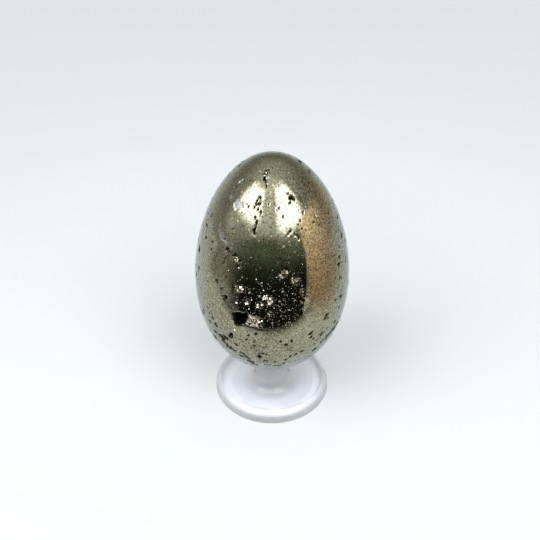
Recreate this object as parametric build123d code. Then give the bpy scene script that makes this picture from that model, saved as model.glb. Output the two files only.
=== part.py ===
"""Polished pyrite egg standing point up in the cup of a clear plastic pedestal stand.

Millimetres. The floor is Z = 0, the Z axis is the axis of both pieces, and -Y faces the viewer.
"""
import os

from build123d import *

# Egg: two cubic curves that meet upright at the widest circle
EGG_HEIGHT = 60.0
EGG_DIAMETER = 40.2
EGG_WIDEST = 26.4  # height of the widest circle above the blunt end
EGG_BASE_REACH = 11.8  # handle of the lower curve at the blunt end, sideways
EGG_LOWER_REACH = 15.2  # handle of the lower curve below the widest circle
EGG_UPPER_REACH = 17.7  # handle of the upper curve above the widest circle
EGG_TIP_REACH = 10.5  # handle of the upper curve at the tip, sideways

# Cavity in the egg, on its widest circle, with a bed of crystals beside it
CAVITY_AZIMUTH = -19.8  # degrees round from the front, positive to the viewer's right
CAVITY_WIDTH = 3.4
CAVITY_DEPTH = 2.2
CAVITY_TURN = 24.0  # degrees in the plane of the surface
BED_AZIMUTH = -10.8
BED_WIDTH = 4.0
BED_DEPTH = 1.1
BED_TURN = -12.0
CRYSTAL_EDGE = 0.75
CRYSTAL_ROWS = 3  # crystals stand in a square, this many each way
CRYSTAL_TURN = 37.0  # degrees from each crystal to the next, about all three axes

# Stand
BASE_DIAMETER = 33.4
BASE_THICKNESS = 0.8  # of the dished floor of the base
BASE_EDGE = 0.15  # rounding where the base meets the floor
LIP_WALL = 2.5  # height of the lip's outer wall
LIP_DRAFT = 0.2  # how far that wall leans in
LIP_TOP = 1.6  # sideways run from the wall up to the crest of the lip
LIP_HEIGHT = 3.0  # of the crest
LIP_SLOPE = 2.8  # sideways run of the lip's inner slope
LIP_SHOULDER = 1.8  # rounding at the top of the wall
LIP_EDGE = 0.3  # rounding of the crest
DISH_FILLET = 1.2  # where the inner slope meets the dish
STEM_DIAMETER = 10.0
STEM_FILLET = 4.0
STAND_HEIGHT = 11.8
CUP_OVERHANG = 2.4  # how far the cup's rim stands out from the stem
CUP_FLARE = 2.4  # height of the curve from the stem to the rim
CUP_BAND = 0.8  # upright outer wall of the rim
CUP_RIM = 0.6  # flat top of the rim
SEAT_CLEARANCE = 0.15  # egg to cup, upright

# Bisection steps that find where the egg's curve reaches the cup's rim
HALVINGS = 40

egg_radius = EGG_DIAMETER / 2
stem_radius = STEM_DIAMETER / 2
base_radius = BASE_DIAMETER / 2
cup_radius = stem_radius + CUP_OVERHANG
seat_radius = cup_radius - CUP_RIM


def lower_curve(bottom):
    """The egg's outline from its blunt end up to its widest circle, X out and Y up."""
    belt = bottom + EGG_WIDEST
    return Bezier(
        (0, bottom),
        (EGG_BASE_REACH, bottom),
        (egg_radius, belt - EGG_LOWER_REACH),
        (egg_radius, belt),
    )


def upper_curve(bottom):
    """The egg's outline from its widest circle up to its tip."""
    belt = bottom + EGG_WIDEST
    tip = bottom + EGG_HEIGHT
    return Bezier(
        (egg_radius, belt),
        (egg_radius, belt + EGG_UPPER_REACH),
        (EGG_TIP_REACH, tip),
        (0, tip),
    )


def height_at(curve, radius):
    """Height at which a curve that runs outwards reaches a radius."""
    low = 0.0
    high = 1.0
    for _ in range(HALVINGS):
        middle = (low + high) / 2
        if (curve @ middle).X < radius:
            low = middle
        else:
            high = middle
    return (curve @ low).Y


# The egg settles where its own curve meets the cup's rim
egg_bottom = STAND_HEIGHT - height_at(lower_curve(0), seat_radius) + SEAT_CLEARANCE


def egg_blank():
    """The egg before its cavity, a solid of revolution."""
    axis_line = Line((0, egg_bottom + EGG_HEIGHT), (0, egg_bottom))
    outline = make_face([lower_curve(egg_bottom), upper_curve(egg_bottom), axis_line])
    return revolve(Plane.XZ * outline, axis=Axis.Z)


def on_belt(azimuth, shape):
    """Carry a shape to the egg's widest circle: local -Y points out of the egg, X right, Z up."""
    front = Pos(0, -egg_radius, egg_bottom + EGG_WIDEST)
    return Rot(0, 0, azimuth) * front * shape


def pocket(width, depth, turn):
    """A square-walled pocket, sunk to its depth below the egg's surface."""
    return Rot(0, turn, 0) * Box(width, 2 * depth, width)


def crystals():
    """Cubes that stand half sunk in the floor of the bed, each turned its own way."""
    pitch = BED_WIDTH / CRYSTAL_ROWS
    first = -pitch * (CRYSTAL_ROWS - 1) / 2
    cubes = []
    for row in range(CRYSTAL_ROWS):
        for column in range(CRYSTAL_ROWS):
            turn = CRYSTAL_TURN * (row * CRYSTAL_ROWS + column)
            place = Pos(first + column * pitch, BED_DEPTH, first + row * pitch)
            cubes.append(place * Rot(turn, turn, turn) * Box(CRYSTAL_EDGE, CRYSTAL_EDGE, CRYSTAL_EDGE))
    return Rot(0, BED_TURN, 0) * Compound(children=cubes)


def egg():
    """The polished egg with its cavity and crystal bed."""
    cavity = on_belt(CAVITY_AZIMUTH, pocket(CAVITY_WIDTH, CAVITY_DEPTH, CAVITY_TURN))
    bed = on_belt(BED_AZIMUTH, pocket(BED_WIDTH, BED_DEPTH, BED_TURN))
    stone = egg_blank() - cavity
    shape = stone - bed
    for cube in on_belt(BED_AZIMUTH, crystals()).solids():
        shape = shape + (cube & stone)
    return shape


def stand_profile():
    """Half section of the stand with its cup still filled, X out and Y up."""
    shoulder_radius = base_radius - LIP_DRAFT
    crest_radius = shoulder_radius - LIP_TOP
    dish_radius = crest_radius - LIP_SLOPE
    rim_foot = STAND_HEIGHT - CUP_BAND
    flare_foot = rim_foot - CUP_FLARE
    with BuildSketch() as profile:
        with BuildLine():
            Polyline(
                (0, STAND_HEIGHT),
                (0, 0),
                (base_radius, 0),
                (shoulder_radius, LIP_WALL),
                (crest_radius, LIP_HEIGHT),
                (dish_radius, BASE_THICKNESS),
                (stem_radius, BASE_THICKNESS),
                (stem_radius, flare_foot),
            )
            TangentArc((stem_radius, flare_foot), (cup_radius, rim_foot), tangent=(0, 1))
            Polyline((cup_radius, rim_foot), (cup_radius, STAND_HEIGHT), (0, STAND_HEIGHT))
        make_face()
        corners = profile.vertices()
        stem_foot = corners.sort_by_distance((stem_radius, BASE_THICKNESS))[0]
        base_foot = corners.sort_by_distance((base_radius, 0))[0]
        shoulder = corners.sort_by_distance((shoulder_radius, LIP_WALL))[0]
        crest = corners.sort_by_distance((crest_radius, LIP_HEIGHT))[0]
        dish_edge = corners.sort_by_distance((dish_radius, BASE_THICKNESS))[0]
        fillet(stem_foot, STEM_FILLET)
        fillet(base_foot, BASE_EDGE)
        fillet(shoulder, LIP_SHOULDER)
        fillet(crest, LIP_EDGE)
        fillet(dish_edge, DISH_FILLET)
    return profile.sketch


def pedestal_stand():
    """The clear stand, its cup sunk to the egg's own curve less the seat clearance."""
    filled = revolve(Plane.XZ * stand_profile(), axis=Axis.Z)
    return filled - Pos(0, 0, -SEAT_CLEARANCE) * egg_blank()


os.makedirs("parts", exist_ok=True)
export_step(egg(), "parts/egg.step")
export_step(pedestal_stand(), "parts/pedestal_stand.step")
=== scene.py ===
"""Polished pyrite egg on a clear acrylic pedestal stand: the looks.

Metres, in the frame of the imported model: Z up along the axis that both pieces share, -Y towards the viewer.
An azimuth is measured round that axis from -Y, positive to the viewer's right.
"""

import logging
import math
from dataclasses import astuple, dataclass, replace
from enum import Enum

import bpy
import numpy as np
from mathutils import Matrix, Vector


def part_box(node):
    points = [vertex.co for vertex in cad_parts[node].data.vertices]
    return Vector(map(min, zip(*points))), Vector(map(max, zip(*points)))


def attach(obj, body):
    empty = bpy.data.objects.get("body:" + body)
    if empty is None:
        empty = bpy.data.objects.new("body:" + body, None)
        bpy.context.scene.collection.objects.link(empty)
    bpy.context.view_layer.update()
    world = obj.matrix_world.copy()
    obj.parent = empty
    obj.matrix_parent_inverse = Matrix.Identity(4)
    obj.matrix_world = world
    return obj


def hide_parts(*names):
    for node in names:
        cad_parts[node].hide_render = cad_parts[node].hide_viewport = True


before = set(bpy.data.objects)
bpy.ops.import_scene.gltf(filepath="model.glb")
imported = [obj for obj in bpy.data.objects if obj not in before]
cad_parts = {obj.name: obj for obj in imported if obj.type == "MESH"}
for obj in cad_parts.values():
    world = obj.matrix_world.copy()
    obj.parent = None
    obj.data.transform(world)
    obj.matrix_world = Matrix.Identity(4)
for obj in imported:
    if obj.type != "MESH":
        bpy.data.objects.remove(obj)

MM = 0.001
SEED = 20

# Attributes of the stand's mesh and of the mirrored room's meshes that their finishes read
# Where the stand's plastic is greyed with painted shade
PAINTED_SHADE = "painted_shade"
GLOW = "glow"
COVER = "cover"

# Sockets of the Mix node when it mixes colours
MIX_FACTOR = 0
MIX_FIRST = 6
MIX_SECOND = 7
MIX_RESULT = 2

log = logging.getLogger("pyrite_egg")


class Field(Enum):
    """Attributes of the egg's mesh that its finish reads."""

    # Where holes and crystal beds are painted near black as painted shade in the recesses, and dulled
    HOLE_SHADE = "hole"
    PALE = "pale"
    COARSE = "coarse"
    SANDY = "sandy"


def linear(code: str) -> tuple[float, float, float, float]:
    """Turn an sRGB hex colour into linear RGBA.

    Args:
        code: colour as "#RRGGBB".

    Returns:
        Linear red, green, blue and an alpha of 1.
    """
    shares = [int(code[i : i + 2], 16) / 255 for i in (1, 3, 5)]
    red, green, blue = [s / 12.92 if s <= 0.04045 else ((s + 0.055) / 1.055) ** 2.4 for s in shares]
    return red, green, blue, 1.0


def per_metre(millimetres: float) -> float:
    """Texture scale at which one cell or wave of a pattern has this size."""
    return 1 / (millimetres * MM)


def node(tree: bpy.types.NodeTree, kind: str, inputs: dict | None = None, **settings) -> bpy.types.Node:
    """Add a shader node, set its properties, and fill or link its inputs.

    Args:
        tree: node tree that takes the node.
        kind: node type without its ShaderNode prefix.
        inputs: socket name or index to a value, or to the output socket that feeds it.
        settings: properties of the node itself.

    Returns:
        The new node.
    """
    made = tree.nodes.new("ShaderNode" + kind)
    for name, value in settings.items():
        setattr(made, name, value)
    for key, value in (inputs or {}).items():
        if isinstance(value, bpy.types.NodeSocket):
            tree.links.new(value, made.inputs[key])
        else:
            made.inputs[key].default_value = value
    return made


def new_material(name: str) -> tuple[bpy.types.Material, bpy.types.NodeTree]:
    """Make an empty node material.

    Args:
        name: the material's name.

    Returns:
        The material and its node tree.
    """
    material = bpy.data.materials.new(name)
    material.use_nodes = True
    material.node_tree.nodes.clear()
    return material, material.node_tree


def new_piece(name: str, points: np.ndarray, faces: list, material: bpy.types.Material) -> bpy.types.Object:
    """Put points and faces into a smooth-shaded mesh object at the origin.

    Args:
        name: the object's name.
        points: vertex positions, one row each.
        faces: corner numbers of each face.
        material: finish of the whole piece.

    Returns:
        The linked object.
    """
    mesh = bpy.data.meshes.new(name)
    mesh.from_pydata(points.reshape(-1, 3), [], faces)
    mesh.shade_smooth()
    mesh.update()
    mesh.materials.append(material)
    piece = bpy.data.objects.new(name, mesh)
    bpy.context.scene.collection.objects.link(piece)
    return piece


def set_values(piece: bpy.types.Object, name: str, values: np.ndarray) -> None:
    """Store one number a point in a piece's mesh, for its finish to read."""
    piece.data.attributes.new(name, "FLOAT", "POINT").data.foreach_set("value", values.ravel())


def ring_faces(rows: int, columns: int) -> np.ndarray:
    """Quads of a grid whose columns close on themselves.

    Args:
        rows: rings of points, from the first to the last.
        columns: points in each ring.

    Returns:
        Four corner numbers a quad: each point, its neighbour round the ring, and the two above them.
    """
    low = np.arange(rows - 1)[:, None] * columns
    here = np.arange(columns)[None, :]
    there = (here + 1) % columns
    quads = np.stack([low + here, low + there, low + columns + there, low + columns + here], axis=-1)
    return quads.reshape(-1, 4)


def closed_faces(rows: int, columns: int) -> list[list[int]]:
    """Faces of a grid whose columns close on themselves and whose ends close at two poles.

    Args:
        rows: rings of points, from the first to the last.
        columns: points in each ring.

    Returns:
        The quads between the rings, then a fan of triangles at each pole. The poles come after the grid.
    """
    count = rows * columns
    here = np.arange(columns)
    there = np.roll(here, -1)
    last = count - columns
    first_fan = np.stack([np.full_like(here, count), there, here], axis=1)
    last_fan = np.stack([np.full_like(here, count + 1), last + here, last + there], axis=1)
    return ring_faces(rows, columns).tolist() + first_fan.tolist() + last_fan.tolist()


def smooth_step(share: np.ndarray) -> np.ndarray:
    """Ease a share from 0 to 1 with level ends: 3 s^2 - 2 s^3, clipped."""
    held = np.clip(share, 0, 1)
    return held * held * (3 - 2 * held)


def ramp(value: np.ndarray, start: float, end: float) -> np.ndarray:
    """Ease from 0, where a value is at the start of a range, to 1, where it is at the range's end."""
    return smooth_step((value - start) / (end - start))


def cubic(controls: np.ndarray, share: np.ndarray) -> np.ndarray:
    """Points of a cubic curve.

    Formula: (1-t)^3 a + 3 (1-t)^2 t b + 3 (1-t) t^2 c + t^3 d.

    Args:
        controls: its four control points, one row each.
        share: places along the curve, from 0 to 1.

    Returns:
        One point a row.
    """
    t = share[:, None]
    a, b, c, d = controls
    return (1 - t) ** 3 * a + 3 * (1 - t) ** 2 * t * b + 3 * (1 - t) * t**2 * c + t**3 * d


def run_length(points: np.ndarray) -> np.ndarray:
    """Length run along a line of points, from 0 at the first."""
    return np.concatenate([[0], np.cumsum(np.hypot(*np.diff(points, axis=0).T))])


def read_along(run: np.ndarray, values: np.ndarray, places: np.ndarray) -> np.ndarray:
    """Read rows of values, given at lengths along a line, at other lengths of it, straight between them."""
    return np.stack([np.interp(places, run, column) for column in values.T], axis=1)


def outward(tangents: np.ndarray) -> np.ndarray:
    """Unit normals of a half section from its tangents: each (r, z) turns to (z, -r)."""
    turned = np.stack([tangents[:, 1], -tangents[:, 0]], axis=1)
    return turned / np.linalg.norm(turned, axis=1, keepdims=True)


def round_axis(radius: np.ndarray, azimuth: np.ndarray, height: np.ndarray) -> np.ndarray:
    """Carry points round the axis: radius r, azimuth a and height z give (r sin a, -r cos a, z).

    Args:
        radius: distances from the axis.
        azimuth: azimuths in radians.
        height: heights.

    Returns:
        One point for each place of the grid that the three span together.
    """
    x, y, z = np.broadcast_arrays(radius * np.sin(azimuth), -radius * np.cos(azimuth), height)
    return np.stack([x, y, z], axis=-1)


# Finishes


@dataclass(frozen=True)
class Grain:
    """One scatter of square-sided grains in the polish.

    Size is the scatter's cell in millimetres, share how many cells hold a grain, spread how much more they
    hold where the ground is coarse, reach the half width of a grain in cells, tilt how far its face leans,
    colour and depth its own tone and how much of it shows, and rough what it adds to the roughness.
    """

    size: float
    share: float
    spread: float
    reach: float
    tilt: float
    colour: str
    depth: float
    rough: float


@dataclass(frozen=True)
class PolishedPyrite:
    """Natural pyrite, ground and polished.

    A brassy grey mirror that is not quite clean: fine brown sand all over it, small square holes where
    crystals broke out, painted near black inside as painted shade, hair cracks, and tilted crystal faces that
    glint against a dark reflection.
    """

    metal: str = "#AAAC95"
    metal_warm: str = "#A9A387"
    rim: str = "#F2F8FC"
    # Near black painted into holes and crystal beds as painted shade; the hair cracks take it too
    hole: str = "#100D08"
    inclusion: str = "#A3A4A0"
    polish: float = 0.06
    dull: float = 0.4
    # Noise that makes the scatters thin in some patches and thick in others
    patch_mm: float = 7.0
    patch_low: float = 0.3
    patch_high: float = 0.7
    thin: float = 0.4
    thick: float = 1.6
    # Hair cracks: cells, the bends in their borders, and the part of the patch noise where they show
    crack_mm: float = 4.2
    crack_wave_mm: float = 1.6
    crack_bend_mm: float = 1.1
    crack_edge: float = 0.03
    crack_core: float = 0.01
    crack_from: float = 0.56
    crack_full: float = 0.64
    crack_depth: float = 0.75
    # Mottle, sand and sparkle are drawn coarser than the real grains, which are too fine to show
    mottle: str = "#574A30"
    mottle_mm: float = 0.5
    mottle_low: float = 0.4
    mottle_high: float = 0.6
    mottle_depth: float = 0.48
    mottle_sandy: float = 0.42
    grain_core: float = 0.75
    sand: Grain = Grain(0.4, 0.3, 0.06, 0.36, 0.2, "#453A25", 0.6, 0.08)
    grit: Grain = Grain(0.8, 0.07, 0.08, 0.26, 0.35, "#33291A", 0.75, 0.14)
    broken: Grain = Grain(1.3, 0.02, 0.1, 0.22, 0.45, "#2A2114", 0.85, 0.22)
    sparkle: Grain = Grain(0.3, 0.01, 0.34, 0.34, 0.8, "#CFC9B2", 0.6, 0.06)
    facet: Grain = Grain(0.75, 0.0, 0.16, 0.26, 0.95, "#DAD4BE", 0.8, 0.08)

    def grains(
        self,
        tree: bpy.types.NodeTree,
        grain: Grain,
        coarse: bpy.types.NodeSocket,
        patches: bpy.types.NodeSocket,
    ) -> tuple[bpy.types.NodeSocket, bpy.types.NodeSocket]:
        """Scatter square-sided grains, each tilted its own way, thicker in some patches than in others.

        Args:
            tree: the material's nodes.
            grain: which scatter.
            coarse: where the ground is coarse, from 0 to 1.
            patches: noise that thickens and thins the scatter.

        Returns:
            The grains' mask, and the vector that leans the surface normal.
        """
        place = node(tree, "TexCoord").outputs["Object"]
        cells = node(
            tree,
            "TexVoronoi",
            {"Vector": place, "Scale": per_metre(grain.size)},
            distance="CHEBYCHEV",
            feature="F1",
        )
        draw = node(tree, "SeparateColor", {"Color": cells.outputs["Color"]}).outputs["Red"]
        share = node(
            tree,
            "MapRange",
            {
                "Value": patches,
                "From Min": self.patch_low,
                "From Max": self.patch_high,
                "To Min": self.thin * grain.share,
                "To Max": self.thick * grain.share,
            },
        ).outputs["Result"]
        share = node(
            tree, "Math", {0: coarse, 1: grain.spread, 2: share}, operation="MULTIPLY_ADD"
        ).outputs[0]
        chosen = node(tree, "Math", {0: draw, 1: share}, operation="LESS_THAN").outputs[0]
        inside = grain.reach * self.grain_core
        near = node(
            tree,
            "MapRange",
            {"Value": cells.outputs["Distance"], "From Min": grain.reach, "From Max": inside},
        ).outputs["Result"]
        mask = node(tree, "Math", {0: chosen, 1: near}, operation="MULTIPLY").outputs[0]
        lean = node(tree, "TexWhiteNoise", {"Vector": cells.outputs["Position"]}, noise_dimensions="3D")
        centred = node(
            tree, "VectorMath", {0: lean.outputs["Color"], 1: (0.5, 0.5, 0.5)}, operation="SUBTRACT"
        ).outputs[0]
        strength = node(tree, "Math", {0: mask, 1: 2 * grain.tilt}, operation="MULTIPLY").outputs[0]
        leaned = node(tree, "VectorMath", {0: centred, "Scale": strength}, operation="SCALE").outputs[0]
        return mask, leaned

    def cracks(self, tree: bpy.types.NodeTree, patches: bpy.types.NodeSocket) -> bpy.types.NodeSocket:
        """Hair cracks along the borders of warped cells, in a few patches only.

        Args:
            tree: the material's nodes.
            patches: noise that says where they show.

        Returns:
            The cracks' mask.
        """
        place = node(tree, "TexCoord").outputs["Object"]
        warp = node(
            tree, "TexNoise", {"Vector": place, "Scale": per_metre(self.crack_wave_mm), "Detail": 2.0}
        ).outputs["Color"]
        bend = self.crack_bend_mm * MM
        bent = node(tree, "VectorMath", {0: warp, "Scale": bend}, operation="SCALE").outputs[0]
        moved = node(tree, "VectorMath", {0: place, 1: bent}, operation="ADD").outputs[0]
        cells = node(
            tree,
            "TexVoronoi",
            {"Vector": moved, "Scale": per_metre(self.crack_mm)},
            feature="DISTANCE_TO_EDGE",
        )
        line = node(
            tree,
            "MapRange",
            {
                "Value": cells.outputs["Distance"],
                "From Min": self.crack_edge,
                "From Max": self.crack_core,
            },
        ).outputs["Result"]
        shown = node(
            tree,
            "MapRange",
            {
                "Value": patches,
                "From Min": self.crack_from,
                "From Max": self.crack_full,
                "To Max": self.crack_depth,
            },
        ).outputs["Result"]
        return node(tree, "Math", {0: line, 1: shown}, operation="MULTIPLY").outputs[0]

    def build(self) -> bpy.types.Material:
        """Make the material.

        Returns:
            Polished pyrite that reads the egg's hole, pale, coarse and sandy attributes.
        """
        material, tree = new_material("polished_pyrite")
        place = node(tree, "TexCoord").outputs["Object"]
        hole, pale, coarse, sandy = [
            node(tree, "Attribute", attribute_name=field.value).outputs["Fac"]
            for field in (Field.HOLE_SHADE, Field.PALE, Field.COARSE, Field.SANDY)
        ]

        patches = node(
            tree, "TexNoise", {"Vector": place, "Scale": per_metre(self.patch_mm), "Detail": 3.0}
        ).outputs["Fac"]
        tone = node(
            tree,
            "Mix",
            {MIX_FACTOR: patches, MIX_FIRST: linear(self.metal), MIX_SECOND: linear(self.metal_warm)},
            data_type="RGBA",
        ).outputs[MIX_RESULT]

        speckle = node(
            tree,
            "TexNoise",
            {"Vector": place, "Scale": per_metre(self.mottle_mm), "Detail": 4.0, "Roughness": 0.7},
        ).outputs["Fac"]
        most = node(
            tree, "Math", {0: sandy, 1: self.mottle_sandy, 2: self.mottle_depth}, operation="MULTIPLY_ADD"
        ).outputs[0]
        dulled = node(
            tree,
            "MapRange",
            {
                "Value": speckle,
                "From Min": self.mottle_low,
                "From Max": self.mottle_high,
                "To Max": most,
            },
        ).outputs["Result"]
        layers = [(dulled, self.mottle)]
        rough = self.polish
        normal = node(tree, "NewGeometry").outputs["Normal"]
        for grain in (self.sand, self.grit, self.broken, self.sparkle, self.facet):
            mask, leaned = self.grains(tree, grain, coarse, patches)
            shown = node(tree, "Math", {0: mask, 1: grain.depth}, operation="MULTIPLY").outputs[0]
            layers.append((shown, grain.colour))
            rough = node(
                tree, "Math", {0: mask, 1: grain.rough, 2: rough}, operation="MULTIPLY_ADD"
            ).outputs[0]
            normal = node(tree, "VectorMath", {0: normal, 1: leaned}, operation="ADD").outputs[0]
        normal = node(tree, "VectorMath", {0: normal}, operation="NORMALIZE").outputs[0]
        # The hole mask paints holes and crystal beds near black: painted shade in the recesses
        layers += [(self.cracks(tree, patches), self.hole), (pale, self.inclusion), (hole, self.hole)]
        for mask in (pale, hole):
            rough = node(tree, "Math", {0: mask, 1: self.dull, 2: rough}, operation="MULTIPLY_ADD").outputs[0]
        for factor, colour in layers:
            tone = node(
                tree,
                "Mix",
                {MIX_FACTOR: factor, MIX_FIRST: tone, MIX_SECOND: linear(colour)},
                data_type="RGBA",
            ).outputs[MIX_RESULT]

        shader = node(
            tree,
            "BsdfPrincipled",
            {
                "Base Color": tone,
                "Metallic": 1.0,
                "Specular Tint": linear(self.rim),
                "Roughness": rough,
                "Normal": normal,
            },
        )
        node(tree, "OutputMaterial", {"Surface": shader.outputs["BSDF"]})
        return material


@dataclass(frozen=True)
class CrystalPyrite:
    """Unpolished pyrite crystals: small pale brassy cubes with flat bright faces and brown in the joints."""

    metal: str = "#D8D2C0"
    stain: str = "#8C7A50"
    polish: float = 0.16
    stain_mm: float = 0.8
    stain_from: float = 0.5
    stain_full: float = 0.75
    stain_rough: float = 0.3

    def build(self) -> bpy.types.Material:
        """Make the material.

        Returns:
            Bright crystal metal, stained in patches.
        """
        material, tree = new_material("crystal_pyrite")
        place = node(tree, "TexCoord").outputs["Object"]
        stain = node(tree, "TexNoise", {"Vector": place, "Scale": per_metre(self.stain_mm), "Detail": 2.0})
        share = node(
            tree,
            "MapRange",
            {"Value": stain.outputs["Fac"], "From Min": self.stain_from, "From Max": self.stain_full},
        ).outputs["Result"]
        tone = node(
            tree,
            "Mix",
            {MIX_FACTOR: share, MIX_FIRST: linear(self.metal), MIX_SECOND: linear(self.stain)},
            data_type="RGBA",
        ).outputs[MIX_RESULT]
        rough = node(
            tree, "Math", {0: share, 1: self.stain_rough, 2: self.polish}, operation="MULTIPLY_ADD"
        ).outputs[0]
        shader = node(tree, "BsdfPrincipled", {"Base Color": tone, "Metallic": 1.0, "Roughness": rough})
        node(tree, "OutputMaterial", {"Surface": shader.outputs["BSDF"]})
        return material


@dataclass(frozen=True)
class ClearAcrylic:
    """Moulded clear acrylic: hazy and faintly blue, with a slight ripple that the mould leaves in the gloss.

    Its underside and stem are greyed with painted shade: the egg's shadow seen through the dish and stem, and
    the shadow under the lip's outer side.
    """

    tint: str = "#FDFEFF"
    # Grey of the painted shade: the egg's shadow under dish and stem, and the shadow under the lip's outer
    # side
    painted_shade: str = "#8C959F"
    index: float = 1.42
    haze: float = 0.36
    haze_ripple: float = 0.03
    gloss: float = 0.6
    polish: float = 0.04
    ripple_mm: float = 5.0
    ripple_height_mm: float = 0.02

    def build(self) -> bpy.types.Material:
        """Make the material.

        Returns:
            Clear plastic with moulding ripple in its normal and haze, which reads the smoke attribute.
        """
        material, tree = new_material("clear_acrylic")
        place = node(tree, "TexCoord").outputs["Object"]
        ripple = node(
            tree, "TexNoise", {"Vector": place, "Scale": per_metre(self.ripple_mm), "Detail": 2.0}
        ).outputs["Fac"]
        bump = node(
            tree, "Bump", {"Height": ripple, "Distance": self.ripple_height_mm * MM, "Strength": 1.0}
        ).outputs["Normal"]
        rough = node(
            tree, "Math", {0: ripple, 1: self.haze_ripple, 2: self.haze}, operation="MULTIPLY_ADD"
        ).outputs[0]
        # Painted shade: greys the underside round the stem and under the lip's outer side, and the stem
        painted_shade = node(tree, "Attribute", attribute_name=PAINTED_SHADE).outputs["Fac"]
        tone = node(
            tree,
            "Mix",
            {MIX_FACTOR: painted_shade, MIX_FIRST: linear(self.tint), MIX_SECOND: linear(self.painted_shade)},
            data_type="RGBA",
        ).outputs[MIX_RESULT]
        shader = node(
            tree,
            "BsdfPrincipled",
            {
                "Base Color": tone,
                "Transmission Weight": 1.0,
                "IOR": self.index,
                "Roughness": rough,
                "Normal": bump,
                "Coat Weight": self.gloss,
                "Coat Roughness": self.polish,
            },
        )
        node(tree, "OutputMaterial", {"Surface": shader.outputs["BSDF"]})
        return material


# Egg


@dataclass(frozen=True)
class Mark:
    """One natural mark on the egg, a square-cornered patch on its surface.

    Azimuth and turn are in degrees, height in millimetres above the blunt end, and the sizes in millimetres:
    width round the egg, length up it, and depth below the polish.
    """

    azimuth: float
    height: float
    width: float
    length: float
    depth: float = 0.4
    turn: float = 0.0

    def widened(self, border: float) -> "Mark":
        """The same mark, wider and longer by a border."""
        return replace(self, width=self.width + border, length=self.length + border)
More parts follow.
